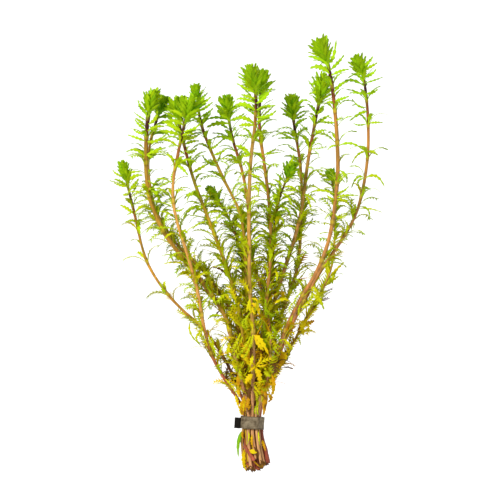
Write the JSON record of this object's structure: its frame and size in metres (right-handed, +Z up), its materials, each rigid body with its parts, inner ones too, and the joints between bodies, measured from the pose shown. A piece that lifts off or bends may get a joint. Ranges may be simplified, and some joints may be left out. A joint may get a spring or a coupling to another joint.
{
  "type": "tied bunch of red parrot feather",
  "caption": "Bunch of cut parrot feather stems for an aquarium, tied near the cut ends with a lead strip and lying flat, with whorls of narrow leaves and a crown at each tip.",
  "frame": {"origin": "middle of the lead strip's flat underside, on the surface that the bunch lies on", "axes": "+Y along the bunch from the cut ends to the growing tips, +Z up from the surface, +X to the right seen from above with the tips away"},
  "size_m": [0.1656, 0.2618, 0.0532],
  "materials": {
    "shoot": "satin leaf green, with brown to tan stems in the dressed scene",
    "lead": "dull grey lead sheet"
  },
  "bodies": {
    "root": {"lead_strip": "lead", "shoot_01": "shoot", "shoot_02": "shoot", "shoot_03": "shoot", "shoot_04": "shoot", "shoot_05": "shoot", "shoot_06": "shoot", "shoot_07": "shoot", "shoot_08": "shoot", "shoot_09": "shoot", "shoot_10": "shoot", "shoot_11": "shoot", "shoot_12": "shoot", "shoot_13": "shoot", "shoot_14": "shoot", "shoot_15": "shoot", "shoot_16": "shoot"}
  },
  "joints": []
}
